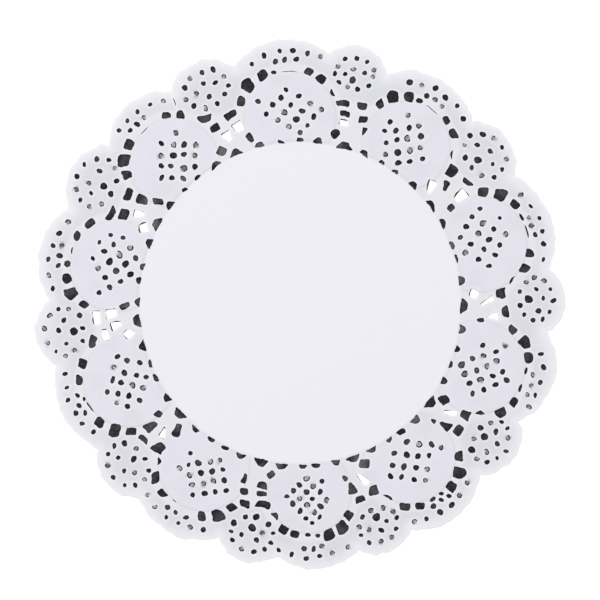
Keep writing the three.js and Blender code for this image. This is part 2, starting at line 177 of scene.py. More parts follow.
# Slits that bend with a medallion's edge. off is from that edge to the slit's middle, and
# lean is degrees clockwise from along the edge.
SLITS = (
    Slit(0, -16, 1.1, 2.8, 2.0, 0),
    Slit(0, 3, 0.3, 9.5, 0.4, 0),
    Slit(1, -17, 1.7, 3.6, 2.8, 0),
    Slit(1, 2, 0.3, 8.5, 0.4, 0),
    Slit(2, -15, 1.2, 4.8, 1.4, 0),
    Slit(2, 3, 0.8, 7.5, 0.8, 0),
    Slit(3, -14.5, 0.8, 4.6, 1.2, 0),
    Slit(3, 6, 0.9, 4.6, 1.5, 0),
    Slit(4, -7, 1.4, 2.8, 1.9, 0),
    Slit(4, 6, 1.3, 3.8, 2.3, 0),
    Slit(5, -8, 1.4, 2.6, 2.1, 0),
    Slit(5, 5, 1.2, 3.8, 1.9, 0),
    Slit(6, 8, 0.4, 3.4, 0.5, 0),
    Slit(7, -9.5, 0.4, 7.0, 0.7, 0),
    Slit(7, 4, 1.0, 2.8, 1.5, 0),
    Slit(8, -9, 1.8, 4.2, 2.8, 0),
    Slit(8, 9, 0.6, 4.6, 0.8, 0),
    Slit(9, -1, 0.3, 5.6, 0.5, 0),
    Slit(9, 41, 8.2, 4.4, 0.5, 74),
)

# A slit's outline, in shares of its length and width.
SLIT_SHAPE = ((-0.5, 0.0), (-0.25, -0.5), (0.25, -0.5), (0.5, 0.0), (0.25, 0.5), (-0.25, 0.5))

# Gaps in a row along the plain middle, by bearing from the medallion or the openwork above.
RIM_GAP_OFF = 0.2
RIM_GAPS = (
    RimGap("medallion", -10.4, 6.3, 2.2, 3.0),
    RimGap("medallion", -3.0, 4.6, 2.6, 2.1),
    RimGap("medallion", 2.2, 4.8, 2.8, 1.9),
    RimGap("medallion", 9.7, 6.4, 2.2, 2.9),
    RimGap("openwork", 0, 8.3, 2.8, 3.4),
)

# Openwork between two medallions: x clockwise of the line halfway, y out from the middle.
OPENWORK = {
    "ladder": (
        Cell(-12.4, 106.4, 2.4, 5.2, 2.0, 44),
        Cell(-5.5, 103.1, 6.0, 7.6, 3.7, -10),
        Cell(3.6, 104.3, 4.8, 5.4, 3.8, -10),
        Cell(-3.7, 97.6, 5.6, 5.8, 2.6, -10),
        Cell(5.3, 98.2, 4.4, 5.0, 3.4, -12),
        Cell(-2.8, 93.3, 4.8, 6.2, 3.4, -4),
        Cell(7.3, 91.9, 1.2, 3.2, 5.2, 4),
        Cell(-5.8, 87.2, 4.3, 4.3, 4.3, 40),
    ),
    "crossed": (
        Cell(-7.6, 105.6, 5.0, 8.2, 3.8, 6),
        Cell(4.3, 102.8, 6.2, 7.4, 4.0, -4),
        Cell(-4.9, 99.6, 5.2, 5.6, 4.2, -14),
        Cell(5.7, 95.4, 3.8, 5.2, 6.0, -8),
        Cell(-1.0, 93.3, 2.4, 5.6, 5.6, -20),
        Cell(8.6, 87.9, 2.4, 3.2, 5.4, -26),
        Cell(-5.7, 87.7, 4.8, 4.8, 4.8, 42),
    ),
    "fan": (
        Cell(-12.4, 106.2, 2.2, 6.4, 1.6, 44),
        Cell(-5.9, 101.0, 4.4, 5.6, 5.2, -6),
        Cell(2.8, 103.0, 4.6, 6.2, 4.2, -4),
        Cell(-2.2, 93.6, 1.2, 4.2, 8.0, -30),
        Cell(4.7, 96.4, 1.8, 5.4, 5.6, -4),
        Cell(7.0, 90.4, 1.6, 3.2, 4.0, -12),
        Cell(-5.8, 87.2, 4.8, 4.8, 4.8, 22),
    ),
    "kite": (
        Cell(-12.8, 106.4, 1.4, 5.0, 1.6, 44),
        Cell(-6.9, 101.4, 4.0, 6.2, 6.2, -8),
        Cell(2.0, 104.2, 4.2, 7.2, 3.0, -8),
        Cell(-2.4, 94.8, 1.6, 4.6, 5.2, -32),
        Cell(5.2, 97.4, 2.8, 5.8, 6.8, 2),
        Cell(7.2, 90.2, 3.2, 3.6, 4.2, -10),
        Cell(-6.4, 88.6, 3.2, 4.4, 7.0, -24),
    ),
}

# Cells of the openwork that show the pale floor, by petal. The dark card lies under the rest.
PALE_CELLS = {
    0: (5,),
    1: (4, 6),
    2: (3, 4, 6),
    3: (3,),
    4: (3,),
    6: (3,),
    7: (1, 2, 3, 4, 6),
    8: (4, 6),
    9: (3, 4),
}
PATCH_OFF = Vector((0.35, -0.3))

# Rows of dots in a petal: half of a row's width and depth are shares of the petal's radius.
PETAL_RING = OvalRow(11, 0.575, 0.46, 0.0, 360.0 / 11.0)
PETAL_HEART = OvalRow(3, 0.29, 0.16, -100.0, 88.0)
PETAL_INSET = 14.0
PETAL_BIG_DOT = -0.22
PETAL_BORDER = 3.6

# Rows of dots in a crest, along arcs about the medallion's middle.
CREST_ARCS = (ArcRow(5.4, -31.0, 12.4, 6), ArcRow(10.0, -11.0, 10.0, 3))
CREST_MARGIN = 2.8

# The square of dots in a medallion. Its dots shrink with each step from its middle.
LATTICE_SIDE = 4
LATTICE_CLEAR_OF_MIDDLE = 4.6
LATTICE_MIDDLE_DOT = 1.05
LATTICE_SHRINK = 0.09
LATTICE_DOT_STRAY = 0.07

# A dot's sides, how far its size strays, and how far it is out of round.
DOT_SIDES = 10
DOT_SIZE_STRAY = 0.1
SMALL_DOT_STRAY = 0.12
DOT_OUT_OF_ROUND = 0.09

# Dots that the punch cut only part of the way round, so that the chad still hangs on.
TORN_FROM = 0.38
TORN_SWEEP = math.radians(270.0)
CHAD_SHARE = 0.62
CHAD_BORDER = (0.7, 1.0)
CHAD_STRAY = 0.2

# The drawn edge: its steps, its uneven bumps in picots, and the turn at the end of a lobe's
# arc, in radians, over which its picots fade. Ends closer than the weld become one.
EDGE_STEP = 1.1
EDGE_BUMP = 2.2
PICOT_FADE = 0.02
WELD = 0.05

# The card's edge is drawn in longer steps.
CARD_STEP = 4.0

# Noise that pushes the cut edges about: how far it reaches, and where it is read.
RAGGED_LENGTH = 1.3 * MM
WARP_LENGTH = 6.0 * MM
NOISE_FOR_X = Vector((0.37, 0.11, 0.53))
NOISE_FOR_Y = Vector((7.9, 3.3, 5.1))

# The mesh is fine up to the first of these distances from a stamped line and as coarse as the
# lace allows past the second. It is coarser still this far inside the plain middle.
FINE_MESH = (1.2, 3.0)
MIDDLE_MESH_FROM = 12.0

# A medallion's face stops this far short of the plain middle.
FACE_OFF_MIDDLE = 1.4

# The stamped forms: from where each starts to rise to where it is whole, in millimetres inside
# the line that it follows. A bead falls again from its third number to its fourth.
FACE_SLOPE = (-0.4, 0.8)
PLAIN_SLOPE = (-0.5, 0.6)
FACE_BEAD = (-0.4, 0.7, 0.9, 2.0)
PLAIN_BEAD = (-0.2, 0.7, 0.9, 2.0)

# How far the paper is rolled down from any cut, and sunk from the edge.
CUT_SLOPE = (0.0, 1.0)
EDGE_SLOPE = (0.0, 6.0)

# The sheet starts to wave at the first of these radii and waves fully at the second.
WAVE_RADIUS = (50.0, 130.0)

# Where the paper's colours give way to each other, measured as the stamped forms are.
FACE_COLOUR = (-0.2, 0.5)
PLAIN_COLOUR = (-0.5, 0.3)
# The FIELD_ numbers bound the dotted fields, which are darkened with painted shade.
FIELD_FROM_FACE = (-3.4, -5.6)
FIELD_FROM_PLAIN = (-22.0, -25.0)
FIELD_FROM_EDGE = (0.0, 11.0)
# CUT_HIGHLIGHT bounds the painted highlight along cut edges. PALE_BY_EDGE makes the paper paler
# towards the outer edge.
CUT_HIGHLIGHT = (0.1, 1.6)
PALE_BY_EDGE = (5.5, 0.0)
# CREASE_SHADE: where the painted shade just outside a medallion's face starts and ends.
CREASE_SHADE = (-0.9, -0.25)
FINE_RIDGE = (-0.3, 0.35, 0.7, 1.6)

# The paper's noises, each by its scale to the metre, its detail and its roughness.
CLOUDS = (60.0, 3.0)
FIBRES = (900.0, 3.0, 0.6)
GRAIN = (2600.0, 2.0, 0.6)

FLOOR_RADIUS = 3.0
FLOOR_SIDES = 96
CAMERA_OFF = (-0.00025, 0.00177)
KEY_AT, KEY_SIZE = (-0.65, 0.75, 1.6), 1.4
FILL_AT, FILL_SIZE = (1.0, -0.6, 1.5), 1.6


def stray(key):
    """A repeatable number from -1 to 1. A fraction added to a key gives it another draw."""
    spread = math.sin(key * 12.9898) * 43758.5453
    return 2.0 * (spread - math.floor(spread)) - 1.0


def clamp(value, low=0.0, high=1.0):
    return max(low, min(high, value))


def eased(value, start, end):
    """0 before start, 1 after end, and a soft S between them."""
    share = clamp((value - start) / (end - start))
    return share * share * (3.0 - 2.0 * share)


def ridge(value, start, top, fall, end):
    """0 before start, 1 from top to fall, and 0 after end."""
    return eased(value, start, top) * (1.0 - eased(value, fall, end))


def on_bearing(bearing, x, y):
    """A point x clockwise and y outward on the line at a bearing."""
    angle = math.radians(bearing)
    return Vector((
        x * math.cos(angle) + y * math.sin(angle),
        y * math.cos(angle) - x * math.sin(angle),
    ))


def about_medallion(reach, turn):
    """A point reach from a medallion's middle, turned clockwise from its outward side."""
    return reach * math.sin(math.radians(turn)), reach * math.cos(math.radians(turn))


def gap_corners(inner, outer, deep, nose=0.0):
    """A gap's corners about its own middle, its outer side towards +Y."""
    corners = [(-inner / 2, -deep / 2), (inner / 2, -deep / 2), (outer / 2, deep / 2)]
    if nose > 0:
        corners.append((0.0, deep / 2 + nose))
    corners.append((-outer / 2, deep / 2))
    return corners


def placed(corners, bearing, x, y, turn, key, amount):
    """Moves corners to x, y on a bearing, turned clockwise, each straying a little."""
    cos, sin = math.cos(math.radians(turn)), math.sin(math.radians(turn))
    points = []
    for index, (cx, cy) in enumerate(corners):
        stray_x = amount * stray(key + index * 0.37)
        stray_y = amount * stray(key + index * 0.53 + 0.11)
        turned_x = cx * cos + cy * sin
        turned_y = cy * cos - cx * sin
        points.append(on_bearing(bearing, x + turned_x + stray_x, y + turned_y + stray_y))
    return points


def ring_gaps(repeat):
    """The gaps that follow a medallion's outer side."""
    medallion = repeat.medallion
    for index, gap in enumerate(RING_GAPS):
        strayed = RING_GAP_TURN_STRAY * stray(repeat.key + index * 0.71)
        turn = gap.turn + getattr(medallion, gap.side) + strayed
        x, y = about_medallion(medallion.size + gap.deep / 2 + RING_GAP_OFF, turn)
        corners = gap_corners(gap.inner, gap.outer, gap.deep, gap.nose)
        key = repeat.key + index
        yield placed(corners, medallion.at, x, medallion.out + y, turn, key, CORNER_STRAY)


def slits(repeat):
    """The slits of a repeat's medallion. They don't stray."""
    medallion = repeat.medallion
    for slit in SLITS:
        if slit.medallion == repeat.number:
            bend = 2 * medallion.size
            corners = [
                (along * slit.long, across * slit.wide - (along * slit.long) ** 2 / bend)
                for along, across in SLIT_SHAPE
            ]
            x, y = about_medallion(medallion.size + slit.off, slit.turn)
            turn = slit.turn + slit.lean
            yield placed(corners, medallion.at, x, medallion.out + y, turn, 0, 0.0)


def rim_gaps(repeat):
    """The row closes up or opens out with the spacing of the medallions."""
    for index, gap in enumerate(RIM_GAPS):
        base = repeat.halfway if gap.below == "openwork" else repeat.medallion.at
        strayed = RIM_GAP_TURN_STRAY * stray(repeat.key + index * 0.83)
        bearing = base + gap.turn * (repeat.pitch / CHART_PITCH) + strayed
        y = MIDDLE_RADIUS + gap.deep / 2 + RIM_GAP_OFF
        corners = gap_corners(gap.inner, gap.outer, gap.deep)
        key = repeat.key + index + RIM_GAP_KEY
        yield placed(corners, bearing, 0.0, y, 0.0, key, CORNER_STRAY)


def clear_across(out, size, turn, y):
    """How far a medallion's edge lies from the line halfway to the next, at height y."""
    half = math.sqrt(max(size ** 2 - (y - out * math.cos(math.radians(turn))) ** 2, 0.0))
    return out * math.sin(math.radians(turn)) - half


def openwork_gaps(repeat):
    """The charted gaps close up or open out to fit between two medallions."""
    petal = repeat.petal
    for index, cell in enumerate(OPENWORK[petal.openwork]):
        beside = repeat.medallion if cell.x < 0 else repeat.after
        room = clear_across(beside.out, beside.size, repeat.pitch / 2, cell.y)
        charted = clear_across(CHART_OUT, CHART_SIZE, CHART_PITCH / 2, cell.y)
        x = cell.x * clamp(room / charted, *OPENWORK_FIT) + petal.shift
        y = cell.y + petal.lift
        corners = gap_corners(cell.inner, cell.outer, cell.deep)
        turn = cell.turn + petal.lean
        key = repeat.key + index + OPENWORK_KEY
        yield placed(corners, repeat.halfway, x, y, turn, key, CORNER_STRAY)


def dot(bearing, x, y, radius, key):
    """A dot that strays a little from x, y on a bearing."""
    stray_x = DOT_STRAY * stray(key + 0.29)
    stray_y = DOT_STRAY * stray(key + 0.61)
    return Dot(on_bearing(bearing, x + stray_x, y + stray_y), radius, key)


def lattice_dots(repeat, sizes):
    """A square of dots that stands on its corner, its outer dots smaller than its inner ones."""
    medallion = repeat.medallion
    extras = [extra for extra in STRAY_DOTS if extra.medallion == repeat.number]
    places = [(extra.right, extra.left) for extra in extras]
    last = (LATTICE_SIDE - 1) / 2
    steps = [index - last for index in range(LATTICE_SIDE)]
    places += [(right, left) for right in steps for left in steps]
    for index, (right, left) in enumerate(places):
        x = medallion.dots_x + right * medallion.right_x + left * medallion.left_x
        y = medallion.out + medallion.dots_y + right * medallion.right_y + left * medallion.left_y
        if y < MIDDLE_RADIUS + LATTICE_CLEAR_OF_MIDDLE:
            continue
        share = LATTICE_MIDDLE_DOT - LATTICE_SHRINK * math.hypot(right, left)
        share += LATTICE_DOT_STRAY * stray(repeat.key + index * 0.31)
        yield dot(medallion.at, x, y, sizes.dot * share, repeat.key + index + LATTICE_KEY)


def oval_dots(bearing, middle_y, across, deep, turns, radius, key):
    """Small dots round an oval, or along part of it."""
    for index, turn in enumerate(turns):
        x = across * math.sin(math.radians(turn))
        y = middle_y + deep * math.cos(math.radians(turn))
        share = 1 + SMALL_DOT_STRAY * stray(key + index)
        yield dot(bearing, x, y, radius * share, key + index)


def steps_from(first, step, count):
    """A row of numbers, each a step past the one before."""
    return [first + step * index for index in range(count)]


def petal_dots(repeat, sizes):
    """A ring of dots in a narrow lobe, with three more and a large one inside it."""
    petal = repeat.petal
    middle_y = petal.out + petal.size - PETAL_INSET
    for row, key in ((PETAL_RING, PETAL_RING_KEY), (PETAL_HEART, PETAL_HEART_KEY)):
        turns = steps_from(petal.turn + row.start, row.step, row.dots)
        across, deep = row.across * petal.size, row.deep * petal.size
        row_key = repeat.key + key
        yield from oval_dots(petal.at, middle_y, across, deep, turns, sizes.small, row_key)
    y = middle_y + PETAL_BIG_DOT * petal.size
    yield dot(petal.at, 0.0, y, sizes.heart, repeat.key + PETAL_BIG_DOT_KEY)


def crest_dots(repeat, sizes):
    """Arcs of dots above a medallion. A dot that would come too near the edge is left out."""
    crest = CRESTS[repeat.number]
    at, out = repeat.medallion.at, repeat.medallion.out
    middle = on_bearing(crest.at, 0.0, crest.out)
    for number, arc in enumerate(CREST_ARCS):
        radius = crest.out + crest.size - out - arc.inset
        turns = []
        for turn in steps_from(arc.start, arc.step, arc.dots):
            x, y = about_medallion(radius, turn)
            away = on_bearing(at, x, out + y) - middle
            if away.length < crest.size - CREST_MARGIN:
                turns.append(turn)
        key = repeat.key + CREST_KEY + KEYS_TO_A_CREST_ROW * number
        yield from oval_dots(at, out, radius, radius, turns, sizes.small, key)


def valley_between(first, second, inset):
    """Where the outlines of two neighbouring lobes cross, on the doily's outside."""
    a = on_bearing(first.at, 0.0, first.out)
    b = on_bearing(second.at, 0.0, second.out)
    apart = (b - a).length
    reach = first.size - inset
    along = (apart ** 2 + reach ** 2 - (second.size - inset) ** 2) / (2 * apart)
    direction = (b - a) / apart
    aside = Vector((-direction.y, direction.x)) * math.sqrt(reach ** 2 - along ** 2)
    return a + direction * along + aside


def repeats():
    """Each medallion with its petal, the next medallion, the line halfway to it, and its key."""
    for number, medallion in enumerate(MEDALLIONS):
        after = MEDALLIONS[(number + 1) % len(MEDALLIONS)]
        pitch = (after.at - medallion.at) % 360
        halfway = medallion.at + pitch / 2
        key = KEYS_TO_A_REPEAT * (number + 1)
        yield Repeat(number, medallion, PETALS[number], after, halfway, pitch, key)


def lace_openings(sizes):
    """Every opening of the ten repeats: gaps, rim gaps and slits by their corners, and dots."""
    gaps, rims, cuts, dots = [], [], [], []
    for repeat in repeats():
        gaps += ring_gaps(repeat)
        rims += rim_gaps(repeat)
        gaps += openwork_gaps(repeat)
        cuts += slits(repeat)
        dots += lattice_dots(repeat, sizes)
        dots += petal_dots(repeat, sizes)
        dots += crest_dots(repeat, sizes)
    return gaps, rims, cuts, dots


def in_metres(point):
    """A charted point as a place on the ground."""
    return Vector((point.x * MM, point.y * MM, 0.0))


def draw_edge(bm, step, inset=0.0, picot_pitch=5.0, picot_depth=0.0):
    """Draws the lobed edge: an arc for each lobe, spun from valley to valley, in picots."""
    lobes = [lobe for pair in zip(CRESTS, PETALS) for lobe in pair]
    for number, lobe in enumerate(lobes):
        before, after = lobes[number - 1], lobes[(number + 1) % len(lobes)]
        middle = on_bearing(lobe.at, 0.0, lobe.out)
        start = valley_between(before, lobe, inset)
        end = valley_between(lobe, after, inset)
        sweep = (start - middle).angle_signed(end - middle) % (2 * math.pi)
        picots = round(sweep * lobe.size / picot_pitch)
        drawn = set(bm.verts)
        first = bm.verts.new(in_metres(start))
        centre = in_metres(middle)
        steps = round(sweep * lobe.size / step)
        bmesh.ops.spin(bm, geom=[first], cent=centre, axis=UP, angle=-sweep, steps=steps)
        drawn.add(first)
        for vert in [v for v in bm.verts if v not in drawn]:
            out = (vert.co - centre).normalized()
            swept = (start - middle).angle_signed(out.xy) % (2 * math.pi)
            wave = 0.5 - 0.5 * math.cos(2 * math.pi * picots * swept / sweep)
            bumps = noise.noise(vert.co / (EDGE_BUMP * picot_pitch * MM))
            kept = eased(sweep - swept, 0.0, PICOT_FADE)
            vert.co += out * picot_depth * MM * (wave + bumps) * kept
    bmesh.ops.remove_doubles(bm, verts=bm.verts[:], dist=WELD * MM)


def draw_loops(bm, outlines, longest):
    """Draws each outline as a loop, and halves what is drawn until its edges are short."""
    for corners in outlines:
        verts = [bm.verts.new(in_metres(corner)) for corner in corners]
        for pair in zip(verts, verts[1:] + verts[:1]):
            bm.edges.new(pair)
    while True:
        long_edges = [e for e in bm.edges if e.calc_length() > longest]
        if not long_edges:
            break
        bmesh.ops.subdivide_edges(bm, edges=long_edges, cuts=1)


def smooth_loops(bm, rounds=1):
    """Eases the corners of all that is drawn."""
    for _ in range(rounds):
        bmesh.ops.smooth_vert(bm, verts=bm.verts[:], factor=0.5, use_axis_x=True, use_axis_y=True)


def push_all(bm, length, reach):
    """Pushes all that is drawn about, as push says."""
    for vert in bm.verts:
        vert.co += push(vert.co, length) * reach


def push(point, length):
    """A repeatable push along x and y, each from -1 to 1, that changes over a length."""
    place = point / length
    return Vector((noise.noise(place + NOISE_FOR_X), noise.noise(place + NOISE_FOR_Y), 0.0))


def is_torn(spot):
    """Whether a dot's chad still hangs in it."""
    return stray(spot.key + 0.43) > TORN_FROM


def draw_dots(bm, dots):
    """Draws each dot as a loop, a little out of round, and a torn one as a C."""
    for spot in dots:
        radius = spot.radius * (1.0 + DOT_SIZE_STRAY * stray(spot.key + 0.83)) * MM
        out_of_round = DOT_OUT_OF_ROUND * stray(spot.key + 0.7)
        squash = Matrix.Diagonal((1 + out_of_round, 1 - out_of_round, 1, 1))
        turn = Matrix.Rotation(math.pi * stray(spot.key + 0.17), 4, "Z")
        place = Matrix.Translation(in_metres(spot.middle)) @ turn @ squash
        if not is_torn(spot):
            bmesh.ops.create_circle(bm, radius=radius, segments=DOT_SIDES, matrix=place)
            continue
        drawn = set(bm.verts)
        arms = [bm.verts.new((radius * share, 0.0, 0.0)) for share in (CHAD_SHARE, 1.0)]
        spun = bmesh.ops.spin(bm, geom=arms, axis=UP, angle=TORN_SWEEP, steps=DOT_SIDES)
        bm.edges.new(arms)
        bm.edges.new([part for part in spun["geom_last"] if isinstance(part, bmesh.types.BMVert)])
        bmesh.ops.transform(bm, matrix=place, verts=[v for v in bm.verts if v not in drawn])


def even_out(bm, longest):
    """Splits each edge longer than longest says for its place, and evens the triangles."""
    while True:
        long_edges = [e for e in bm.edges if e.calc_length() > longest(e)]
        if not long_edges:
            break
        bmesh.ops.subdivide_edges(bm, edges=long_edges, cuts=1)
        bmesh.ops.triangulate(bm, faces=[f for f in bm.faces if len(f.verts) > 3])
        inner = [e for e in bm.edges if not e.is_boundary]
        bmesh.ops.beautify_fill(bm, faces=bm.faces[:], edges=inner)
        free = [v for v in bm.verts if not v.is_boundary]
        bmesh.ops.smooth_vert(bm, verts=free, factor=0.5, use_axis_x=True, use_axis_y=True)


def near_points(points):
    """A tree that tells how far a place lies from the nearest of some points."""
    tree = kdtree.KDTree(len(points))
    for index, point in enumerate(points):
        tree.insert(point, index)
    tree.balance()
    return tree


MEDALLION_MIDDLES = [on_bearing(medallion.at, 0.0, medallion.out) for medallion in MEDALLIONS]


def inside_medallion(at):
    """How far a place lies inside the nearest medallion's edge, negative outside it."""
    return max(
        medallion.size - (at - middle).length
        for medallion, middle in zip(MEDALLIONS, MEDALLION_MIDDLES)
    )


def swell_of_petal(at):
    """1 in the middle of the nearest petal's oval of dots, falling to 0 at its border."""
    share = 0.0
    for petal in PETALS:
        away = at - on_bearing(petal.at, 0.0, petal.out + petal.size - PETAL_INSET)
        out = on_bearing(petal.at, 0.0, 1.0)
        along = away.dot(out) / (PETAL_RING.deep * petal.size + PETAL_BORDER)
        aside = away.x * out.y - away.y * out.x
        across = aside / (PETAL_RING.across * petal.size + PETAL_BORDER)
        share = max(share, 1.0 - along ** 2 - across ** 2)
    return share


def describe_place(vert, edge, cut, chads, torn):
    """Where a vertex lies on the sheet, in millimetres from each thing round it.

    edge, cut and chads find the nearest point of the outer edge, of any cut edge, the outer
    one too, and of the torn dots' middles.
    """
    at = vert.co.xy / MM
    radius = at.length
    index, to_chad = chads.find(vert.co)[1:]
    chad = 1.0 - eased(to_chad / (torn[index].radius * MM), *CHAD_BORDER)
    return Place(
        at=at,
        radius=radius,
        to_face=min(inside_medallion(at), radius - MIDDLE_RADIUS - FACE_OFF_MIDDLE),
        to_plain=MIDDLE_RADIUS - radius,
        to_edge=edge.find(vert.co)[2] / MM,
        to_cut=cut.find(vert.co)[2] / MM,
        chad=chad * (1.0 - CHAD_STRAY + CHAD_STRAY * stray(torn[index].key)),
        swell=swell_of_petal(at),
    )


def stamp_height(place, sheet):
    """How high the stamped paper stands at a place, over its lowest ground."""
    raised = max(eased(place.to_face, *FACE_SLOPE), eased(place.to_plain, *PLAIN_SLOPE))
    bead = ridge(place.to_face, *FACE_BEAD) + ridge(place.to_plain, *PLAIN_BEAD)
    height = raised * sheet.face_rise + bead * sheet.bead_rise
    height += math.sqrt(max(place.swell, 0.0)) * sheet.petal_rise
    height -= (1.0 - eased(place.to_cut, *CUT_SLOPE)) * sheet.cut_dip
    height -= (1.0 - eased(place.to_edge, *EDGE_SLOPE)) * sheet.edge_dip
    height -= place.chad * sheet.chad_drop
    wave = noise.noise(in_metres(place.at) / sheet.wave_length)
    height += wave * eased(place.radius, *WAVE_RADIUS) * sheet.wave_rise
    return height


class Link:
    """A socket of a finish, with the arithmetic that the finishes use."""

    def __init__(self, finish, socket):
        self.finish = finish
        self.socket = socket

    def joined(self, operation, first, second):
        return self.finish.node("ShaderNodeMath", {"operation": operation}, {0: first, 1: second})

    def __add__(self, other):
        return self.joined("ADD", self, other)

    def __radd__(self, other):
        return self.joined("ADD", other, self)

    def __sub__(self, other):
        return self.joined("SUBTRACT", self, other)

    def __rsub__(self, other):
        return self.joined("SUBTRACT", other, self)

    def __mul__(self, other):
        return self.joined("MULTIPLY", self, other)

    def __rmul__(self, other):
        return self.joined("MULTIPLY", other, self)


class Finish:
    """A material made of nodes."""

    def __init__(self, name):
        self.material = bpy.data.materials.new(name)
        self.material.use_nodes = True
        self.tree = self.material.node_tree
        self.tree.nodes.clear()

    def node(self, kind, settings, sockets, output=0):
        """Adds a node: its settings first, then each socket's value or link."""
        made = self.tree.nodes.new(kind)
        for name, value in settings.items():
            setattr(made, name, value)
        for name, value in sockets.items():
            if isinstance(value, Link):
                self.tree.links.new(value.socket, made.inputs[name])
            else:
                made.inputs[name].default_value = value
        return Link(self, made.outputs[output]) if made.outputs else None

    def place(self):
        """Object coordinates."""
        return self.node("ShaderNodeTexCoord", {}, {}, output=3)

    def of_vertex(self, name):
        """A number that the mesh holds for each vertex."""
        return self.node("ShaderNodeAttribute", {"attribute_name": name}, {}, output=2)

    def noise(self, place, scale, detail=2.0, roughness=0.5):
        """Cloudy noise from 0 to 1, scale times to the metre."""
        sockets = {"Vector": place, "Scale": scale, "Detail": detail, "Roughness": roughness}
        return self.node("ShaderNodeTexNoise", {}, sockets)

    def step(self, value, start, end):
        """0 before start, 1 after end, and a soft S between them."""
        settings = {"interpolation_type": "SMOOTHSTEP"}
        return self.node("ShaderNodeMapRange", settings, {0: value, 1: start, 2: end})

    def mix(self, share, first, second):
        """A colour between two colours."""
        settings = {"data_type": "RGBA", "clamp_factor": True}
        first, second = (
            part if isinstance(part, Link) else (*part, 1.0) for part in (first, second)
        )
        return self.node("ShaderNodeMix", settings, {0: share, 6: first, 7: second}, output=2)

    def ridge(self, value, start, top, fall, end):
        """0 before start, 1 from top to fall, and 0 after end."""
        return self.step(value, start, top) * (1.0 - self.step(value, fall, end))


def paper_finish(colours):
    """Thin stamped paper: plain middle, faces, dotted fields darkened with painted shade, paler
    rims with painted highlight at the cuts, painted shade round the medallions, and chads painted
    dark grey for their shade.
    """
    finish = Finish("stamped_paper")
    place = finish.place()
    to_face = finish.of_vertex("to_face")
    to_plain = finish.of_vertex("to_plain")
    to_edge = finish.of_vertex("to_edge")
    to_cut = finish.of_vertex("to_cut")
    clouds = finish.noise(place, *CLOUDS) - 0.5
    fibres = finish.noise(place, *FIBRES) - 0.5
    grain = finish.noise(place, *GRAIN) - 0.5
    plain = finish.step(to_plain, *PLAIN_COLOUR)
    face = finish.step(to_face, *FACE_COLOUR)
    # Painted shade: the dotted fields are darkened for the shade of their stamped dimples.
    field = finish.step(to_face, *FIELD_FROM_FACE) * finish.step(to_plain, *FIELD_FROM_PLAIN)
    field = field * finish.step(to_edge, *FIELD_FROM_EDGE)
    body = finish.mix(face + clouds * 0.4, colours.ground, colours.face)
    body = finish.mix(field * 0.88 + clouds * 2.0 + 0.04, body, colours.field)
    body = finish.mix(plain, body, colours.plain)
    # Painted highlight along the cut edges; the paper is also paler towards the outer edge.
    cut_highlight = (1.0 - finish.step(to_cut, *CUT_HIGHLIGHT)) * (1.0 - plain)
    rim = finish.step(to_edge, *PALE_BY_EDGE) * 0.8 + cut_highlight * 0.6
    body = finish.mix(rim + fibres * 0.25, body, colours.pale_rim_and_cut_highlight)
    # Painted shade: a darker line just outside each medallion's face.
    crease_shade = finish.step(to_face, *CREASE_SHADE) * (1.0 - face)
    body = finish.mix(crease_shade * 0.3, body, colours.crease_shade)
    # Painted shade: the hanging chads are coloured dark grey.
    body = finish.mix(finish.of_vertex("chad"), body, colours.chad)
    beads = finish.ridge(to_face, *FINE_RIDGE) + finish.ridge(to_plain, *FINE_RIDGE)
    relief = beads * 0.4 + (fibres + grain * 0.5) * 0.45
    sockets = {"Strength": 0.5, "Distance": 0.1 * MM, "Height": relief}
    dents = finish.node("ShaderNodeBump", {}, sockets)
    shader = finish.node(
        "ShaderNodeBsdfPrincipled",
        {},
        {
            "Base Color": body,
            "Roughness": 0.74 + clouds * 0.12 + fibres * 0.1,
            "Normal": dents,
            "IOR": 1.45,
            "Specular IOR Level": 0.28,
        },
    )
    finish.node("ShaderNodeOutputMaterial", {}, {"Surface": shader})
    return finish.material


def matt(finish, shade, glow=0.0):
    """Ends a finish as a matt surface."""
    sockets = {
        "Base Color": shade,
        "Roughness": 0.92,
        "Specular IOR Level": 0.1,
        "Emission Color": (1.0, 1.0, 1.0, 1.0),
        "Emission Strength": glow,
    }
    shader = finish.node("ShaderNodeBsdfPrincipled", {}, sockets)
    finish.node("ShaderNodeOutputMaterial", {}, {"Surface": shader})
    return finish.material


def pale_finish(name, colour, glow=0.0):
    """A matt pale surface with faint clouds in it."""
    finish = Finish(name)
    cloud = finish.noise(finish.place(), 3.0)
    return matt(finish, finish.mix(cloud, colour, [part * 0.985 for part in colour]), glow)


def card_finish(colours):
    """Dark matt card, paler in clouds and thin streaks, and most of all near the middle."""
    finish = Finish("dark_card")
    place = finish.place()
    out = finish.node("ShaderNodeVectorMath", {"operation": "LENGTH"}, {0: place}, output=1)
    inner = 0.35 + finish.step(out, 0.1, 0.09) * 0.5
    cloud = finish.step(finish.noise(place, 110.0, 2.0), 0.4, 0.7)
    streak = finish.step(finish.noise(place, 700.0, 4.0, 0.7), 0.52, 0.72)
    return matt(finish, finish.mix(cloud * inner + streak * 0.5, colours.card, colours.lighter))


def shown(bm, name, material):
    """Turns a bmesh into an object of the scene."""
    mesh = bpy.data.meshes.new(name)
    bm.to_mesh(mesh)
    bm.free()
    mesh.materials.append(material)
    made = bpy.data.objects.new(name, mesh)
    bpy.context.scene.collection.objects.link(made)
    return made


def length_setting(name, description, default):
    """A length that a user may change, in metres."""
    return bpy.props.FloatProperty(
        name=name, description=description, default=default, min=0.0, unit="LENGTH", precision=5
    )


def colour_setting(name, description, default):
    """A colour that a user may change."""
    return bpy.props.FloatVectorProperty(
        name=name,
        description=description,
        default=default,
        subtype="COLOR",
        min=0.0,
        max=1.0,
    )


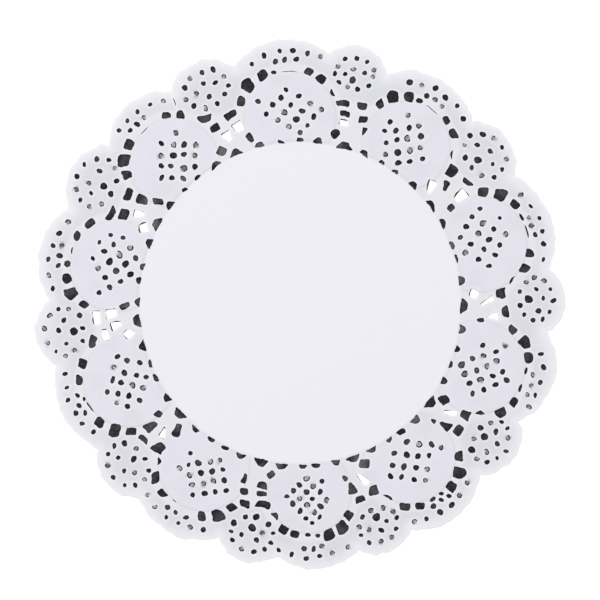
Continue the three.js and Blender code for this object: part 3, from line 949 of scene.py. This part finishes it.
class DoilySheetSettings(bpy.types.PropertyGroup):
    """Sizes and colours of the paper sheet."""

    thickness: length_setting("Paper thickness", "Thickness of the paper", 0.0002)
    lift: length_setting("Lift", "Height of the stamped paper's lowest ground", 0.00085)
    face_rise: length_setting("Face rise", "How far medallions and middle stand up", 0.00025)
    bead_rise: length_setting("Bead rise", "Height of the raised line round a medallion", 0.00007)
    petal_rise: length_setting("Petal rise", "How far a petal swells", 0.0002)
    cut_dip: length_setting("Cut dip", "How far the paper rolls down at a cut edge", 0.00012)
    edge_dip: length_setting("Edge dip", "How far the paper sinks towards its edge", 0.0003)
    chad_drop: length_setting("Chad drop", "How far a hanging chad bends down", 0.0003)
    wave_rise: length_setting("Wave height", "How far the lace band waves up and down", 0.0004)
    wave_length: length_setting("Wave length", "Size of the lace band's waves", 0.042)
    picot_pitch: length_setting("Picot pitch", "Spacing of the small bumps of the edge", 0.0062)
    picot_depth: length_setting("Picot depth", "Depth of the small bumps of the edge", 0.0007)
    corner_rounds: bpy.props.IntProperty(
        name="Corner rounds",
        description="How often edge and gaps are smoothed before the rim gaps are drawn",
        default=1,
        min=0,
    )
    ragged: length_setting("Raggedness", "How far a cut edge strays", 0.00032)
    warp: length_setting("Warp", "How far edge and openings are pushed out of shape", 0.001)
    dot_radius: length_setting("Dot radius", "Radius of a medallion's dots", 0.00164)
    heart_dot_radius: length_setting("Heart dot radius", "Radius of a petal's large dot", 0.002)
    small_dot_radius: length_setting("Small dot radius", "Radius of the edge's dots", 0.00131)
    lace_mesh: length_setting("Lace mesh", "Longest mesh edge in the lace band", 0.0026)
    rim_mesh: length_setting("Rim mesh", "Longest mesh edge at the medallions' edges", 0.0012)
    middle_mesh: length_setting("Middle mesh", "Longest mesh edge in the plain middle", 0.005)
    plain: colour_setting("Plain", "Colour of the plain middle", (0.80, 0.78, 0.845))
    face: colour_setting("Face", "Colour of the medallions' faces", (0.722, 0.706, 0.78))
    # Painted shade: darker colour for the shade of the dotted fields' stamped dimples.
    ground: colour_setting("Ground", "Colour of the openwork's paper", (0.735, 0.727, 0.77))
    field: colour_setting("Field", "Colour of the edge's dotted fields", (0.655, 0.658, 0.718))
    # Painted highlight along the cut edges, and paper paler towards the outer edge.
    pale_rim_and_cut_highlight: colour_setting("Pressed edge", "Colour of the pressed rims", (0.80, 0.793, 0.83))
    # Painted shade: the dark line just outside each medallion's face.
    crease_shade: colour_setting("Crease", "Colour in the crease round a medallion", (0.55, 0.545, 0.59))
    # Painted shade: the chads are paper, coloured dark grey for the shade that they hang in.
    chad: colour_setting("Chad", "Colour of the chads that hang in the holes", (0.12, 0.12, 0.13))


class DoilyStageSettings(bpy.types.PropertyGroup):
    """The floor, the dark card under the lace, the light and the camera."""

    floor: colour_setting("Floor", "Colour of the floor", (0.96, 0.96, 0.96))
    card: colour_setting("Card", "Colour of the dark card under the lace", (0.021, 0.019, 0.027))
    # The card is paler in clouds and streaks, most of all near the middle.
    lighter: colour_setting("Worn card", "Colour of the card where it is worn", (0.15, 0.15, 0.16))
    floor_glow: bpy.props.FloatProperty(
        name="Floor glow", description="Softens the shade by the sheet's edge", default=0.06
    )
    patch_glow: bpy.props.FloatProperty(
        name="Patch glow", description="Makes up for the shade that the lace casts", default=0.15
    )
    card_inset: length_setting("Card inset", "How far the card stays inside the edge", 0.0013)
    floor_drop: length_setting("Floor drop", "How far the floor lies below the sheet", 0.00006)
    card_drop: length_setting("Card drop", "How far the card lies below the sheet", 0.00003)
    camera_height: length_setting("Camera height", "Height of the camera above the sheet", 0.8417)
    lens: bpy.props.FloatProperty(
        name="Lens", description="Focal length in mm", default=100.0, unit="CAMERA"
    )
    sky: bpy.props.FloatProperty(
        name="Sky", description="Strength of the even light", default=0.65
    )
    key_power: bpy.props.FloatProperty(
        name="Key light", description="Power in watts", default=14.9, unit="POWER"
    )
    fill_power: bpy.props.FloatProperty(
        name="Fill light", description="Power in watts", default=5.9, unit="POWER"
    )


def fill_outline(bm):
    """Fills the outermost loop with triangles, leaving the loops inside it open."""
    edges = bm.edges[:]
    bmesh.ops.triangle_fill(bm, use_beauty=True, use_dissolve=False, edges=edges, normal=UP)


def flat_sheet(sheet):
    """The sheet before it is stamped: its edge and openings filled with even triangles.

    The edge and the gaps are smoothed before the rim gaps are drawn and again with them, so
    the rim gaps keep sharper corners. The slits are drawn last and aren't smoothed.
    """
    sizes = Sizes(sheet.dot_radius / MM, sheet.heart_dot_radius / MM, sheet.small_dot_radius / MM)
    gaps, rims, cuts, dots = lace_openings(sizes)
    bm = bmesh.new()
    draw_edge(bm, EDGE_STEP, 0.0, sheet.picot_pitch / MM, sheet.picot_depth / MM)
    edge = near_points([v.co.copy() for v in bm.verts])
    draw_loops(bm, gaps, sheet.rim_mesh)
    smooth_loops(bm, sheet.corner_rounds)
    draw_loops(bm, rims, sheet.rim_mesh)
    smooth_loops(bm)
    draw_dots(bm, dots)
    push_all(bm, RAGGED_LENGTH, sheet.ragged)
    draw_loops(bm, cuts, sheet.rim_mesh)
    push_all(bm, WARP_LENGTH, sheet.warp)
    cut = near_points([v.co.copy() for v in bm.verts])
    fill_outline(bm)

    def longest(mesh_edge):
        middle = (mesh_edge.verts[0].co + mesh_edge.verts[1].co) / 2
        at = middle.xy / MM
        to_plain = MIDDLE_RADIUS - at.length
        if to_plain > MIDDLE_MESH_FROM:
            return sheet.middle_mesh
        to_line = abs(to_plain)
        if to_plain < 0.0:
            to_line = min(to_line, abs(inside_medallion(at)))
        return sheet.rim_mesh + eased(to_line, *FINE_MESH) * (sheet.lace_mesh - sheet.rim_mesh)

    bmesh.ops.delete(bm, geom=[v for v in bm.verts if not v.link_faces], context="VERTS")
    even_out(bm, longest)
    return bm, edge, cut, dots


class DOILY_OT_make_sheet(bpy.types.Operator):
    """Makes the stamped and punched paper sheet"""

    bl_idname = "doily.make_sheet"
    bl_label = "Make the paper sheet"

    def execute(self, context):
        sheet = context.scene.doily_sheet
        bm, edge, cut, dots = flat_sheet(sheet)
        area = sum(face.calc_area() for face in bm.faces)
        torn = [spot for spot in dots if is_torn(spot)]
        middles = [in_metres(spot.middle) for spot in torn]
        pushed = [middle + push(middle, WARP_LENGTH) * sheet.warp for middle in middles]
        chads = near_points(pushed)
        layers = {
            name: bm.verts.layers.float.new(name)
            for name in ("to_face", "to_plain", "to_edge", "to_cut", "chad")
        }
        for vert in bm.verts:
            place = describe_place(vert, edge, cut, chads, torn)
            for name, layer in layers.items():
                vert[layer] = getattr(place, name)
            vert.co.z = sheet.lift + stamp_height(place, sheet)
        bmesh.ops.recalc_face_normals(bm, faces=bm.faces[:])
        if sum(face.normal.z for face in bm.faces) < 0:
            bmesh.ops.reverse_faces(bm, faces=bm.faces[:])
        for face in bm.faces:
            face.smooth = True
        for side in bm.edges:
            side.smooth = not side.is_boundary
        paper = shown(bm, "doily_paper", paper_finish(sheet))
        thick = paper.modifiers.new("paper_thickness", "SOLIDIFY")
        thick.thickness = sheet.thickness
        thick.offset = -1.0
        thick.use_even_offset = False
        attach(paper, "root")
        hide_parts("doily_sheet")
        return {"FINISHED"}


class DOILY_OT_make_stage(bpy.types.Operator):
    """Makes the floor, the dark card under the lace, the lights and the camera"""

    bl_idname = "doily.make_stage"
    bl_label = "Make the stage"

    def execute(self, context):
        stage = context.scene.doily_stage
        bm = bmesh.new()
        bmesh.ops.create_circle(bm, cap_ends=True, radius=FLOOR_RADIUS, segments=FLOOR_SIDES)
        bmesh.ops.translate(bm, verts=bm.verts[:], vec=(0.0, 0.0, -stage.floor_drop))
        floor = shown(bm, "floor", pale_finish("pale_floor", stage.floor, stage.floor_glow))
        card = self.add_card(stage)
        patches = self.add_patches(stage)
        self.add_lights(context, stage)
        self.add_camera(context, stage)
        return {"FINISHED"}

    def add_card(self, stage):
        """The dark card, lobed as the sheet is and hidden by it."""
        bm = bmesh.new()
        draw_edge(bm, CARD_STEP, stage.card_inset / MM)
        fill_outline(bm)
        bmesh.ops.translate(bm, verts=bm.verts[:], vec=(0.0, 0.0, -stage.card_drop))
        return shown(bm, "dark_card", card_finish(stage))

    def add_patches(self, stage):
        """Pale patches on the card, under the cells of the openwork that look bright."""
        outlines = []
        for repeat in repeats():
            cells = list(openwork_gaps(repeat))
            outlines += [cells[index] for index in PALE_CELLS.get(repeat.number, ())]
        bm = bmesh.new()
        for corners in outlines:
            bm.faces.new([bm.verts.new(in_metres(corner + PATCH_OFF)) for corner in corners])
        bmesh.ops.recalc_face_normals(bm, faces=bm.faces[:])
        bmesh.ops.translate(bm, verts=bm.verts[:], vec=(0.0, 0.0, -stage.card_drop / 2))
        return shown(bm, "pale_patches", pale_finish("pale_patch", stage.floor, stage.patch_glow))

    def add_lights(self, context, stage):
        """Even white light from all round, and two large soft lights above the sheet."""
        world = bpy.data.worlds.new("studio")
        world.use_nodes = True
        sky = world.node_tree.nodes["Background"].inputs
        sky["Color"].default_value = (1.0, 1.0, 1.0, 1.0)
        sky["Strength"].default_value = stage.sky
        context.scene.world = world
        for name, place, size, power in (
            ("key_light", KEY_AT, KEY_SIZE, stage.key_power),
            ("fill_light", FILL_AT, FILL_SIZE, stage.fill_power),
        ):
            light = bpy.data.lights.new(name, "AREA")
            light.shape = "DISK"
            light.size = size
            light.energy = power
            lamp = bpy.data.objects.new(name, light)
            lamp.location = place
            lamp.rotation_euler = Vector(place).to_track_quat("Z", "Y").to_euler()
            context.scene.collection.objects.link(lamp)

    def add_camera(self, context, stage):
        """The camera looks straight down, as in the photograph."""
        camera = bpy.data.objects.new("camera", bpy.data.cameras.new("camera"))
        camera.data.lens = stage.lens
        camera.data.clip_start = 0.01
        camera.location = (*CAMERA_OFF, stage.camera_height)
        context.scene.collection.objects.link(camera)
        context.scene.camera = camera
        context.scene.view_settings.view_transform = "Standard"


class DOILY_PT_panel(bpy.types.Panel):
    """Lists the doily's operators and settings"""

    bl_idname = "DOILY_PT_panel"
    bl_label = "Paper doily"
    bl_space_type = "VIEW_3D"
    bl_region_type = "UI"
    bl_category = "Doily"

    def draw(self, context):
        for settings, operator in (
            (context.scene.doily_sheet, DOILY_OT_make_sheet),
            (context.scene.doily_stage, DOILY_OT_make_stage),
        ):
            self.layout.operator(operator.bl_idname)
            for name in settings.bl_rna.properties.keys():
                if name not in ("rna_type", "name"):
                    self.layout.prop(settings, name)


CLASSES = (
    DoilySheetSettings,
    DoilyStageSettings,
    DOILY_OT_make_sheet,
    DOILY_OT_make_stage,
    DOILY_PT_panel,
)


def register():
    """Registers the classes and hangs the settings on the scene."""
    for kind in CLASSES:
        bpy.utils.register_class(kind)
    bpy.types.Scene.doily_sheet = bpy.props.PointerProperty(type=DoilySheetSettings)
    bpy.types.Scene.doily_stage = bpy.props.PointerProperty(type=DoilyStageSettings)


def unregister():
    """Takes back what register did."""
    del bpy.types.Scene.doily_stage
    del bpy.types.Scene.doily_sheet
    for kind in reversed(CLASSES):
        bpy.utils.unregister_class(kind)


def main():
    """Makes the doily and its stage."""
    register()
    bpy.ops.doily.make_sheet()
    bpy.ops.doily.make_stage()


if __name__ == "__main__":
    main()
